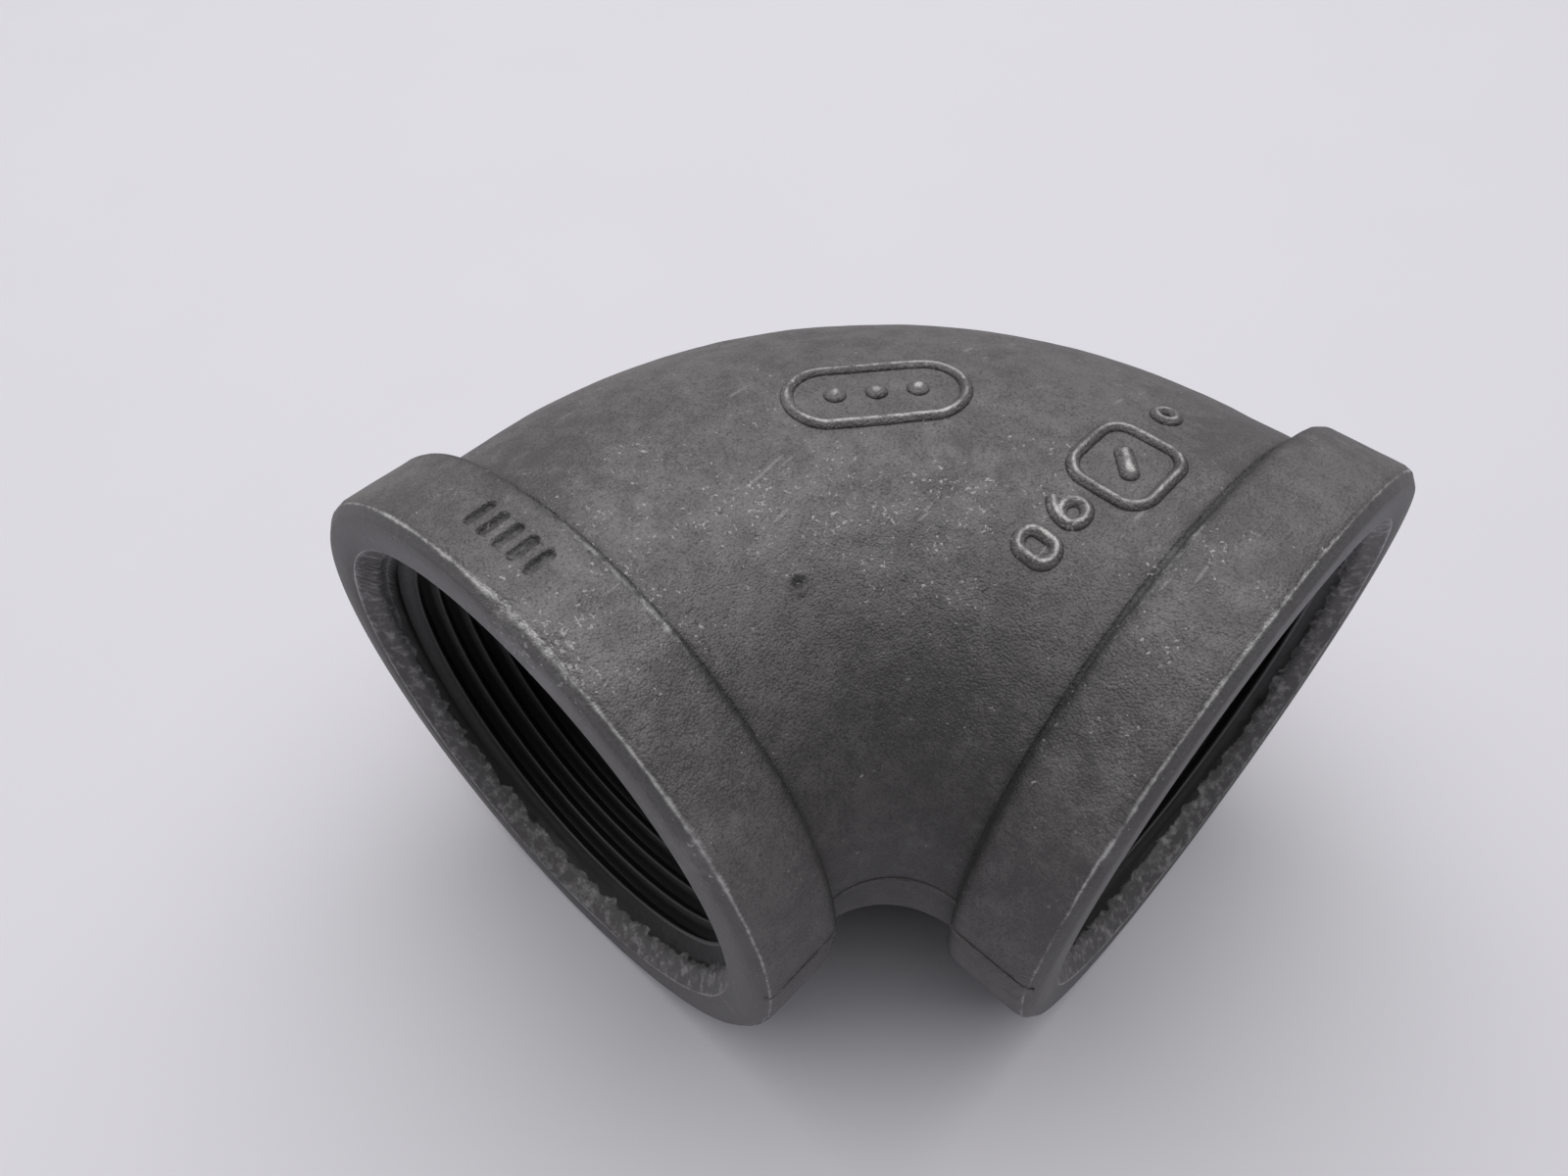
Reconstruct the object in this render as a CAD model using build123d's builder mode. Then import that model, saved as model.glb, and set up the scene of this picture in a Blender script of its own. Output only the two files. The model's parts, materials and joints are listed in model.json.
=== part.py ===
"""A 90 degree pipe elbow, 2 1/2 inch, class 150 malleable iron, with female taper pipe threads.

The real fitting is one casting with nothing loose on it. It is written here as the zones that a foundry and
a tapping machine make: the bend, the end bands, the cut threads, the raised marks and the line where the two
halves of the mould met. They touch face to face. Millimetres, +Z up. The elbow lies on its side on Z = 0 with
the origin under the middle of its box. Port A opens along +X and port B along -Y.
"""

import os
from math import atan, cos, degrees, radians, sin, sqrt, tan

from build123d import *

# ---- the casting --------------------------------------------------------------------------------------
CENTRE_TO_END = 68.6  # crossing of the two port axes to either port's face
BAND_RADIUS = 45.6  # outside of an end band
BODY_RADIUS = 42.3  # outside of the bend beside a band
WALL = 5.3  # metal thickness of the bend
BACK_CENTRE = 42.2  # from each port axis to the centre of the arc of the bend's back
CORNER_CENTRE = 43.0  # from each port axis to the centre of the arc of the waterway's inside corner
SECTIONS = 9  # cross-sections that the bend is drawn through

# ---- an end band --------------------------------------------------------------------------------------
BAND_WIDTH = 13.4  # port's face to the band's rear flank
FACE_ROUND = 2.0  # rounding between the band's outside and the port's face
SHOULDER_ROUND = 1.3  # rounding of the band's rear corner
SHOULDER_FILLET = 1.2  # hollow between the band's rear flank and the bend

# ---- a taper pipe thread ------------------------------------------------------------------------------
PITCH = 25.4 / 8
TAPER = 1 / 32  # loss of radius for each millimetre of depth
ROOT_RADIUS = 36.25  # bottom of the groove, carried out to the port's face
CREST_RADIUS = 33.95  # top of the thread, carried out to the port's face
ROOT_FLAT = 0.25
HALF_ANGLE = 30.0  # between a flank and the thread's radius
OVERCUT = 0.2  # how far the groove's profile reaches past the crest
THREAD_DEPTH = 26.0  # port's face to the end of the thread, where the waterway opens out
THREAD_START = 1.03  # depth where the groove's centre line starts, under the port's axis
THREAD_RUNOUT = 3.0  # how far the groove's centre line runs on past the end of the thread
RIM_RADIUS = 38.8  # countersink at the port's face, and the outside of the thread's zone
SINK_DEPTH = 2.4
MOUTH_RADIUS = 36.7  # short plain land that lets the pipe's end in
MOUTH_DEPTH = 3.6
LEAD_DEPTH = 5.4  # end of the cone that leads from the land to the thread's crest

# ---- marks and mould line, all cast ---------------------------------------------------------------------
MARK_HEIGHT = 0.8
STROKE = 1.25
CARTOUCHE = (24.5, 12.0)  # length and width of the frame on top of the bend
CARTOUCHE_PLACE = (12.4, -12.2)  # from the crossing, along X and Y
CARTOUCHE_TURN = 50.0
PIP_RADIUS = 1.5
PIP_PITCH = 5.4
PIP_COUNT = 3
BADGE = 12.2  # side of the small square frame
BADGE_CORNER = 3.1
BADGE_BAR = (6.2, 2.4)  # length and width of the bar in the middle of the small frame
BADGE_PLACE = (43.0, -1.8)
READING_TURN = -90.0  # the marks beside port A are read towards port B, their tops to port A
GLYPH = (4.4, 6.0)  # width and height of a raised figure
GLYPH_X = 41.6
TAIL_RADIUS = 3.6  # of the nine
TAIL_TURN = -58.0
DEGREE_RADIUS = 1.9
DEGREE_Y, NINE_Y, ZERO_Y = 9.8, -11.6, -17.4
SINK_MARK_Y = -60.8  # middle of the row of sunk bars on band B
SINK_MARK_PITCH = 2.7
SINK_MARK_COUNT = 5
SINK_MARK_LENGTH = 4.2
SINK_MARK_WIDTH = 1.1
SINK_MARK_DEPTH = 0.8
LINE_HEIGHT = 0.35
LINE_WIDTH = 0.9

# ---- derived ------------------------------------------------------------------------------------------
FLANK = CENTRE_TO_END - BAND_WIDTH
TOE = FLANK - SHOULDER_FILLET  # plane where the bend ends and a band starts
BORE = BODY_RADIUS - WALL
WIDEST = BAND_RADIUS + LINE_HEIGHT
CROSSING = Vector(-(CENTRE_TO_END - WIDEST) / 2, (CENTRE_TO_END - WIDEST) / 2, BAND_RADIUS)
PIVOT = CROSSING + Vector(TOE, -TOE, 0)  # the bend's sections turn about this upright line
AXES = {"a": Vector(1, 0, 0), "b": Vector(0, -1, 0)}
UP = Vector(0, 0, 1)


def reach(turn, at_band, arc_centre):
    """Distance from the pivot to a wall that runs straight in from each band and rounds the diagonal.

    turn is in degrees from port A's band, at_band is the distance at either band, and arc_centre is from
    each port axis to the centre of the wall's arc.
    """
    step = TOE - arc_centre
    off_band = radians(min(turn, 90 - turn))
    if at_band * tan(off_band) <= step:
        return at_band / cos(off_band)
    along = step * (sin(off_band) + cos(off_band))
    return along + sqrt(along**2 - 2 * step**2 + (at_band - step) ** 2)


def bend_solid(radius, inner_corner=None):
    """The space inside the bend's wall at this radius from the port axes, between the two band planes."""
    with BuildPart() as bend:
        for i in range(SECTIONS):
            turn = 90 * i / (SECTIONS - 1)
            t = radians(turn)
            near = TOE - radius if inner_corner is None else reach(turn, TOE - radius, inner_corner)
            far = reach(turn, TOE + radius, BACK_CENTRE)
            plane = Plane(origin=PIVOT, x_dir=(-sin(t), cos(t), 0), z_dir=(-cos(t), -sin(t), 0))
            with BuildSketch(plane):
                with Locations(((near + far) / 2, 0)):
                    Ellipse((far - near) / 2, radius)
        loft()
    return bend.part


def axial_plane(port):
    """The level plane through a port's axis: x runs out along the axis from the crossing, y is a radius."""
    return Plane(origin=CROSSING, x_dir=AXES[port], z_dir=UP)


def band_solid(port, grow=0.0):
    """An end band with its outside moved out by grow: rounded front, rear corner and hollow into the bend."""
    top = BAND_RADIUS + grow
    foot = BODY_RADIUS + grow
    flank = FLANK - grow
    round_radius = SHOULDER_ROUND + grow
    fillet_radius = SHOULDER_FILLET - grow
    with BuildPart() as band:
        with BuildSketch(axial_plane(port)):
            with BuildLine():
                Polyline(
                    (TOE, foot),
                    (TOE, RIM_RADIUS),
                    (CENTRE_TO_END, RIM_RADIUS),
                    (CENTRE_TO_END, top - FACE_ROUND),
                )
                JernArc((CENTRE_TO_END, top - FACE_ROUND), (0, 1), FACE_ROUND, 90)
                Line((CENTRE_TO_END - FACE_ROUND, top), (flank + round_radius, top))
                JernArc((flank + round_radius, top), (-1, 0), round_radius, 90)
                Line((flank, top - round_radius), (flank, foot + fillet_radius))
                JernArc((flank, foot + fillet_radius), (0, -1), fillet_radius, -90)
            make_face()
        revolve(axis=Axis(CROSSING, AXES[port]))
    return band.part


def port_cylinder(port, radius, near, far):
    """A plain cylinder on a port's axis, between two distances from the crossing."""
    axis = AXES[port]
    with BuildPart() as cylinder:
        with BuildSketch(Plane(origin=CROSSING + axis * near, x_dir=UP, z_dir=axis)):
            Circle(radius)
        extrude(amount=far - near)
    return cylinder.part


# ---- bend ---------------------------------------------------------------------------------------------
outer_bend = bend_solid(BODY_RADIUS)

with BuildPart() as bend:
    add(outer_bend)
    add(bend_solid(BORE, CORNER_CENTRE), mode=Mode.SUBTRACT)
    for port in AXES:
        add(port_cylinder(port, RIM_RADIUS, CENTRE_TO_END - THREAD_DEPTH, TOE), mode=Mode.SUBTRACT)


# ---- end bands ----------------------------------------------------------------------------------------
with BuildPart() as band_a:
    add(band_solid("a"))

with BuildPart() as band_b:
    add(band_solid("b"))
    with BuildSketch(Plane(origin=CROSSING + UP * (BAND_RADIUS - SINK_MARK_DEPTH))):
        with Locations((0, SINK_MARK_Y)):
            with GridLocations(SINK_MARK_PITCH, 0, SINK_MARK_COUNT, 1):
                SlotOverall(SINK_MARK_LENGTH, SINK_MARK_WIDTH, rotation=90)
    extrude(amount=SINK_MARK_DEPTH * 2, mode=Mode.SUBTRACT)


# ---- cut threads --------------------------------------------------------------------------------------
def groove(port):
    """The spiral groove of a port's thread, as the solid that the tap removes."""
    axis = AXES[port]
    start = CROSSING + axis * (CENTRE_TO_END - THREAD_START)
    mid_radius = (ROOT_RADIUS + CREST_RADIUS) / 2 - THREAD_START * TAPER
    length = THREAD_DEPTH - THREAD_START + THREAD_RUNOUT
    path = Helix(PITCH, length, mid_radius, center=start, direction=-axis, cone_angle=-degrees(atan(TAPER)))
    top = (ROOT_RADIUS - CREST_RADIUS) / 2
    bottom = -top - OVERCUT
    half_mouth = ROOT_FLAT / 2 + (top - bottom) * tan(radians(HALF_ANGLE))
    with BuildPart() as cutter:
        with BuildSketch(Plane(origin=path @ 0, x_dir=(path @ 0) - start, z_dir=path % 0)):
            with BuildLine():
                Polyline(
                    (top, ROOT_FLAT / 2),
                    (top, -ROOT_FLAT / 2),
                    (bottom, -half_mouth),
                    (bottom, half_mouth),
                    close=True,
                )
            make_face()
        sweep(path=path, is_frenet=True)
    return cutter.part


def thread_solid(port):
    """The zone that the tap cuts: countersink, plain land, lead-in cone and tapered thread."""
    end = CENTRE_TO_END - THREAD_DEPTH
    with BuildPart() as thread:
        with BuildSketch(axial_plane(port)):
            with BuildLine():
                Polyline(
                    (end, RIM_RADIUS),
                    (CENTRE_TO_END, RIM_RADIUS),
                    (CENTRE_TO_END - SINK_DEPTH, MOUTH_RADIUS),
                    (CENTRE_TO_END - MOUTH_DEPTH, MOUTH_RADIUS),
                    (CENTRE_TO_END - LEAD_DEPTH, CREST_RADIUS - LEAD_DEPTH * TAPER),
                    (end, CREST_RADIUS - THREAD_DEPTH * TAPER),
                    close=True,
                )
            make_face()
        revolve(axis=Axis(CROSSING, AXES[port]))
        add(groove(port), mode=Mode.SUBTRACT)
    return thread.part


with BuildPart() as thread_a:
    add(thread_solid("a"))

with BuildPart() as thread_b:
    add(thread_a.part.rotate(Axis(CROSSING, UP), -90))


# ---- raised marks on top of the bend --------------------------------------------------------------------
mark_skin = bend_solid(BODY_RADIUS + MARK_HEIGHT) - outer_bend


def mark_plane(place, turn):
    """A level plane inside the bend, under the given place from the crossing, its x along the mark."""
    return Plane(origin=CROSSING + Vector(*place, BODY_RADIUS / 2)).rotated((0, 0, turn))


def raised(sketch):
    """The mark that stands on the bend's surface over this sketch."""
    with BuildPart() as mark:
        add(sketch)
        extrude(amount=BODY_RADIUS)
        add(mark_skin, mode=Mode.INTERSECT)
    return mark.part


with BuildSketch(mark_plane(CARTOUCHE_PLACE, CARTOUCHE_TURN)) as cartouche:
    SlotOverall(*CARTOUCHE)
    SlotOverall(CARTOUCHE[0] - 2 * STROKE, CARTOUCHE[1] - 2 * STROKE, mode=Mode.SUBTRACT)

with BuildSketch(mark_plane(CARTOUCHE_PLACE, CARTOUCHE_TURN)) as pips:
    with GridLocations(PIP_PITCH, 0, PIP_COUNT, 1):
        Circle(PIP_RADIUS)

with BuildSketch(mark_plane(BADGE_PLACE, READING_TURN)) as badge:
    RectangleRounded(BADGE, BADGE, BADGE_CORNER)
    RectangleRounded(BADGE - 2 * STROKE, BADGE - 2 * STROKE, BADGE_CORNER - STROKE, mode=Mode.SUBTRACT)

with BuildSketch(mark_plane(BADGE_PLACE, READING_TURN)) as badge_bar:
    SlotOverall(*BADGE_BAR, rotation=45)

with BuildSketch(mark_plane((GLYPH_X, DEGREE_Y), READING_TURN)) as degree:
    Circle(DEGREE_RADIUS)
    Circle(DEGREE_RADIUS - STROKE, mode=Mode.SUBTRACT)

with BuildSketch(mark_plane((GLYPH_X, NINE_Y), READING_TURN)) as nine:
    loop_y = (GLYPH[1] - GLYPH[0]) / 2
    with Locations((0, loop_y)):
        Circle(GLYPH[0] / 2)
    with BuildLine(mode=Mode.PRIVATE):
        tail = JernArc(((GLYPH[0] - STROKE) / 2, loop_y), (0, -1), TAIL_RADIUS, TAIL_TURN)
    SlotArc(tail, STROKE)
    with Locations((0, loop_y)):
        Circle(GLYPH[0] / 2 - STROKE, mode=Mode.SUBTRACT)

with BuildSketch(mark_plane((GLYPH_X, ZERO_Y), READING_TURN)) as zero:
    SlotOverall(GLYPH[1], GLYPH[0], rotation=90)
    SlotOverall(GLYPH[1] - 2 * STROKE, GLYPH[0] - 2 * STROKE, rotation=90, mode=Mode.SUBTRACT)

marks = {
    "mark_cartouche": raised(cartouche.sketch),
    "mark_badge": raised(badge.sketch),
    "mark_badge_bar": raised(badge_bar.sketch),
    "mark_degree": raised(degree.sketch),
    "mark_nine": raised(nine.sketch),
    "mark_zero": raised(zero.sketch),
}
for i, pip in enumerate(pips.sketch.faces().sort_by(Axis.X)):
    marks[f"mark_pip_{i + 1}"] = raised(pip)


# ---- mould line -----------------------------------------------------------------------------------------
with BuildPart() as mould_line:
    add(bend_solid(BODY_RADIUS + LINE_HEIGHT))
    for port in AXES:
        add(band_solid(port, LINE_HEIGHT))
    with Locations(CROSSING):
        Box(CENTRE_TO_END * 4, CENTRE_TO_END * 4, LINE_WIDTH, mode=Mode.INTERSECT)
    add(outer_bend, mode=Mode.SUBTRACT)
    for port in AXES:
        add(band_solid(port), mode=Mode.SUBTRACT)

crotch_line, back_line = mould_line.solids().sort_by_distance(PIVOT)


# ---- files ----------------------------------------------------------------------------------------------
nodes = {
    "elbow_bend": bend.part,
    "band_a": band_a.part,
    "band_b": band_b.part,
    "thread_a": thread_a.part,
    "thread_b": thread_b.part,
    "mould_line_back": back_line,
    "mould_line_crotch": crotch_line,
    **marks,
}
os.makedirs("parts", exist_ok=True)
for name, node in nodes.items():
    node.label = name
    export_step(node, f"parts/{name}.step")
    print(name, round(node.volume, 1), node.is_valid, len(node.solids()), node.bounding_box())
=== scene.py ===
"""A cast iron pipe elbow: the bend, two end bands, two tapped ports, the mould line and the raised marks.

Every piece is built in metres in the frame's own place. A port's own space has its origin where the two port
axes cross, x out along the port's axis and z up. Port B's space is port A's, turned a quarter round z.
"""

import json
import math

import bmesh
import bpy
from bpy.props import FloatProperty, FloatVectorProperty, IntProperty, PointerProperty
from mathutils import Matrix, Vector, noise


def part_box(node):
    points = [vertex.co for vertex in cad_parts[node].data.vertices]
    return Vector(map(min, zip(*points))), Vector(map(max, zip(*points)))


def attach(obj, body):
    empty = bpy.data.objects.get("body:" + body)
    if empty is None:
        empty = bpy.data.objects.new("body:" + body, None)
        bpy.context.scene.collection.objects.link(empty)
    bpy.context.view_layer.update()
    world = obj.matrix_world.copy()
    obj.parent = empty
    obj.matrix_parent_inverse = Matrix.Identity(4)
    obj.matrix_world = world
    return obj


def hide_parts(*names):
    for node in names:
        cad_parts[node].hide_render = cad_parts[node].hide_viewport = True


bl_info = {
    "name": "Cast Pipe Elbow",
    "version": (1, 0, 0),
    "blender": (4, 5, 0),
    "location": "View3D > Sidebar > Elbow",
    "description": "Builds a cast iron pipe elbow, piece by piece, on its CAD frame",
    "category": "Object",
}

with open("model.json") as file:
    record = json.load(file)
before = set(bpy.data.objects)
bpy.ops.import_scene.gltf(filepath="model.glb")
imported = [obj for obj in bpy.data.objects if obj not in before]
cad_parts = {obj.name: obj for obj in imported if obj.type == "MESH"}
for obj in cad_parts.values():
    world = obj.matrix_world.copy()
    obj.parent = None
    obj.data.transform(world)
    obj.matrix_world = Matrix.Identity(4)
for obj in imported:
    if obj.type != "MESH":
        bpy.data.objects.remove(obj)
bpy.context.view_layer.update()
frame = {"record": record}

# ---- sizes read from the frame, in metres ---------------------------------------------------------------
MM = 0.001
MOUNTS = {mount["name"]: mount for mount in frame["record"]["mounts"]}
CROSSING = Vector((MOUNTS["port_b"]["pos_m"][0], *MOUNTS["port_a"]["pos_m"][1:]))
MOUTH_RADIUS = MOUNTS["port_a"]["dims"]["r_mm"] * MM
MOUTH_LENGTH = MOUNTS["port_a"]["dims"]["length_mm"] * MM
MOUTH_MIDDLE = MOUNTS["port_a"]["pos_m"][0] - CROSSING.x
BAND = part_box("band_a")
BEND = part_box("elbow_bend")
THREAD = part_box("thread_a")
END = BAND[1].x - CROSSING.x  # the port's face
TOE = BAND[0].x - CROSSING.x  # where the bend runs into the band
BAND_RADIUS = CROSSING.z
BEND_RADIUS = (BEND[1].z - BEND[0].z) / 2
RIM_RADIUS = (THREAD[1].z - THREAD[0].z) / 2
THREAD_END = THREAD[0].x - CROSSING.x
MOUTH_FRONT = MOUTH_MIDDLE + MOUTH_LENGTH / 2
MOUTH_BACK = MOUTH_MIDDLE - MOUTH_LENGTH / 2
PIVOT = CROSSING + Vector((TOE, -TOE, 0))  # the bend's sections turn about this upright line
PORTS = {"a": 0.0, "b": -90.0}  # degrees that each port's space is turned about z
CLOSE = 1e-6  # nearer than this is the same place
WELD = 1e-7  # verts nearer than this are merged
CUT_REACH = 1e-5  # how far a cut edge may lie from the plane that cut it

# ---- how finely the bend is divided ---------------------------------------------------------------------
BEND_STEPS = 176
WATERWAY_STEPS = 40

# ---- thread ---------------------------------------------------------------------------------------------
TAPER = 1 / 32  # how much the thread's radius shrinks along its length
CREST_FLAT = 0.28 * MM
ROOT_FLAT = 0.25 * MM
MOUTH_RINGS = 6  # rings of faces down the countersink
MOUTH_DEPTH = 4.4 * MM  # how deep from the face the mouth is rough
CHATTER_TURN = math.radians(52)  # where round the port the tool chattered most
CHATTER_SPREAD = math.radians(24)
CHATTER_PITCH = 1.5 * MM

# ---- marks ----------------------------------------------------------------------------------------------
CARTOUCHE = (24.5 * MM, 12.0 * MM)  # length and width of the long frame
CARTOUCHE_TURN = 50
READING_TURN = -90  # the figures' tops are towards port A
MARK_SEGMENTS = 18  # round a mark's line
MARK_STEPS = 48  # along a mark's line
PIP_RADIUS = 1.5 * MM
BADGE_CORNER = 3.0 * MM
TAIL_RADIUS = 3.6 * MM
TAIL_TURN = 58  # degrees that the nine's tail bends through
TAIL_ROOT = 3  # degrees that the tail runs on inside the nine's ring
BAR_LENGTH = 4.2 * MM  # of each sunk bar in band B
BAR_WIDTH = 1.3 * MM
BAR_PITCH = 2.7 * MM
BAR_DEPTH = 0.7 * MM

# ---- wear and painted shade: places from the crossing and sizes in millimetres --------------------------
CRATER = (23.6, -38.9)  # a small blow hole in the bend's top
NICK = (6.8, -67.6, 44.8)  # the largest knock on the ridges
CROTCH_SHADE = (30, -30, 16)  # middle of the painted shade in the crotch
CROTCH_SHADE_SIZE = 19
SCUFFS = (  # place, size and strength
    ((28, -22, 38), 11, 0.95),
    ((16, -30, 38), 12, 0.75),
    ((33, -10, 41), 8, 0.45),
    ((6, -44, 40), 13, 0.6),
    ((8, -60, 45), 14, 0.55),
    ((13, -67.5, 43.5), 8, 1.0),
    ((35, -67, 27), 8, 0.6),
    ((17, -57, 41.5), 5, 0.8),
    ((56, -12, 44), 6, 0.7),
    ((61, -16, 42), 10, 0.55),
    ((60, -34, 30), 9, 0.6),
    ((-8, 30, 30), 16, 0.35),
    ((-30, -10, 30), 18, 0.35),
    ((20, 20, -38), 20, 0.4),
)


# ---- settings -------------------------------------------------------------------------------------------
def length(name, default_mm, text):
    """A length setting, given in millimetres."""
    return FloatProperty(name=name, description=text, default=default_mm * MM, unit="LENGTH", precision=5)


def distance(name, default, text):
    """A distance setting, given in metres."""
    return FloatProperty(name=name, description=text, default=default, unit="LENGTH")


def amount(name, default, text, unit="NONE"):
    """A plain setting, such as a light's power."""
    return FloatProperty(name=name, description=text, default=default, unit=unit)


def place_of(name, default, text):
    """Where something of the stage stands, from the crossing, in metres."""
    return FloatVectorProperty(
        name=name, description=text, default=default, subtype="TRANSLATION", unit="LENGTH"
    )


def colour(name, default, text):
    """A colour setting."""
    return FloatVectorProperty(
        name=name, description=text, default=default, size=4, subtype="COLOR", min=0, max=1
    )


class ElbowSizes(bpy.types.PropertyGroup):
    """Sizes that the frame does not give."""

    wall: length("Wall", 5.3, "Metal thickness of the bend")
    back_centre: length("Back Arc Centre", 42.2, "From a port's axis to the centre of the bend's back")
    corner_centre: length("Corner Arc Centre", 43.0, "From a port's axis to the centre of the bore's corner")
    shoulder_fillet: length("Shoulder Fillet", 1.2, "Hollow between a band's rear flank and the bend")
    shoulder_round: length("Shoulder Round", 1.3, "Rounding of a band's rear corner")
    ridge_depth: length("Ridge Depth", 1.05, "From a port's face back to the worn ridge round it")
    ridge_drop: length("Ridge Drop", 0.3, "How far the worn ridge lies inside the band's outside")
    face_edge: length("Face Edge", 1.7, "From the band's outside in to where the flat face starts")
    pitch: length("Thread Pitch", 25.4 / 8, "Distance from one thread to the next")
    root_radius: length("Root Radius", 36.25, "Bottom of the thread, carried out to the port's face")
    crest_radius: length("Crest Radius", 33.95, "Top of the thread, carried out to the port's face")
    thread_start: length("Thread Start", 1.03, "Depth of the groove's middle under the port's axis")
    lead_depth: length("Lead Depth", 5.4, "Depth where the lead-in cone meets the thread's crest")
    lump_depth: length("Lump Depth", 0.22, "How far the cast skin dips below its true surface")
    line_height: length("Mould Line Height", 0.3, "How far the mould line stands out")
    mark_height: length("Mark Height", 0.75, "How far the raised marks stand out")
    stroke: length("Stroke", 1.3, "Width of a raised mark's line")


class ElbowFinish(bpy.types.PropertyGroup):
    """Colours of the iron, and how finely it is divided."""

    iron: colour("Iron", (0.140, 0.133, 0.135, 1), "The cast skin's middle tone")
    iron_dark: colour("Dark Iron", (0.075, 0.071, 0.072, 1), "Stains of the cast skin")
    iron_warm: colour("Warm Iron", (0.195, 0.184, 0.182, 1), "The cast skin's lighter, warmer patches")
    # the colour of the painted shade in hollows, the crotch and the waterway
    hollow: colour("Painted Shade", (0.028, 0.027, 0.027, 1), "Dirt left in hollows")
    rubbed: colour("Rubbed Iron", (0.52, 0.51, 0.51, 1), "Edges rubbed bright")
    faced: colour("Faced Iron", (0.118, 0.116, 0.121, 1), "Metal that the facing tool has cut")
    dust: colour("Dust", (0.60, 0.59, 0.58, 1), "Pale specks and scuffs")
    # Tapped Iron is partly oiled metal and partly painted shade, kept near black for the bore's inside
    tapped: colour("Tapped Iron", (0.016, 0.015, 0.015, 1), "Oiled metal that the tap has cut")
    around: IntProperty(name="Steps Around", description="Steps round a port", default=576, min=48, max=720)


class ElbowStage(bpy.types.PropertyGroup):
    """The floor, the lights and the camera. Places are from the crossing of the port axes."""

    floor: colour("Floor", (0.78, 0.765, 0.815, 1), "The surface that the elbow lies on")
    floor_reach: distance("Floor Reach", 1.1, "From the middle of the floor to its edge")
    room: colour("Room", (0.92, 0.94, 1.0, 1), "Colour of the light from all round")
    room_strength: amount("Room Strength", 0.07, "Light from all round")
    backdrop: amount("Backdrop", 0.6, "How pale the room looks behind the floor")
    overhead_place: place_of("Overhead Light", (-0.18, 0.22, 1.14), "The large light above")
    overhead_size: distance("Overhead Size", 2.0, "Side of the large light")
    overhead_power: amount("Overhead Power", 23.5, "Power of the large light", "POWER")
    side_place: place_of("Side Light", (-0.739, -0.611, 0.304), "The small light that shines into port B")
    side_size: distance("Side Size", 0.6, "Side of the small light")
    side_power: amount("Side Power", 0.7, "Power of the small light", "POWER")
    camera_place: place_of("Camera", (0.08163, -0.10006, 0.13973), "The camera")
    camera_angles: FloatVectorProperty(
        name="Camera Angles",
        description="How high the camera looks from, its turn round the elbow and its lean",
        default=[math.radians(angle) for angle in (50.948, 44.667, -1.521)],
        subtype="EULER",
        unit="ROTATION",
    )
    lens: amount("Lens", 26.14, "Focal length on a 36 mm sensor", "CAMERA")


# ---- shapes ---------------------------------------------------------------------------------------------
def port_space(port):
    """Turns a port's own space into the frame's."""
    return Matrix.Translation(CROSSING) @ Matrix.Rotation(math.radians(PORTS[port]), 4, "Z")


def piece(name, bm, material, node):
    """Makes a finished piece of a bmesh, with its outside facing out and its smooth look set."""
    bmesh.ops.recalc_face_normals(bm, faces=bm.faces)
    mesh = bpy.data.meshes.new(name)
    bm.to_mesh(mesh)
    bm.free()
    mesh.shade_smooth()
    mesh.materials.append(material)
    made = bpy.data.objects.new(name, mesh)
    bpy.context.scene.collection.objects.link(made)
    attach(made, "root")
    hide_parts(node)


def paint(bm, name, value_at):
    """Writes a value from 0 to 1 on every vertex, for a material to read."""
    layer = bm.verts.layers.float.new(name)
    for vert in bm.verts:
        vert[layer] = min(1.0, max(0.0, value_at(vert.co)))


def dip(point, depth):
    """How far the cast skin lies below its true surface here: broad waves, lumps and small knocks."""
    broad = noise.noise(point / (19 * MM))
    lumps = noise.noise(point / (6.5 * MM) + Vector((7, 3, 1)))
    small = noise.noise(point / (2.6 * MM) + Vector((1, 9, 4)))
    return depth * min(1.0, max(0.0, 0.5 + 0.42 * broad + 0.30 * lumps + 0.16 * small))


def reach(turn, at_band, arc_centre):
    """Distance from the pivot to a wall that runs straight in from each band and rounds the diagonal."""
    step = TOE - arc_centre
    off_band = min(turn, math.pi / 2 - turn)
    if at_band * math.tan(off_band) <= step:
        return at_band / math.cos(off_band)
    along = step * (math.sin(off_band) + math.cos(off_band))
    return along + math.sqrt(along**2 - 2 * step**2 + (at_band - step) ** 2)


def bend_edges(turn, radius, sizes, inside=False):
    """Distances from the pivot to the bend's inner and outer corner, at this turn from port A's band."""
    turn = min(math.pi / 2, max(0.0, turn))
    near = reach(turn, TOE - radius, sizes.corner_centre) if inside else TOE - radius
    return near, reach(turn, TOE + radius, sizes.back_centre)


def bend_top(x, y, sizes):
    """Height of the bend's outside above the port axes, at this place from the crossing."""
    turn = math.atan2(TOE - x, TOE + y)
    near, far = bend_edges(turn, BEND_RADIUS, sizes)
    across = (2 * math.hypot(TOE - x, TOE + y) - near - far) / (far - near)
    return BEND_RADIUS * math.sqrt(max(0.0, 1 - across**2))


def in_waterway(place, sizes):
    """One on the inner half of the bend's wall, and nought on its outer half."""
    arm = place - PIVOT
    near, far = bend_edges(math.atan2(-arm.x, arm.y), BEND_RADIUS, sizes)
    across = (2 * arm.xy.length - near - far) / (far - near)
    return 1.0 if math.hypot(across, arm.z / BEND_RADIUS) < 1 - sizes.wall / 2 / BEND_RADIUS else 0.0


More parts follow.
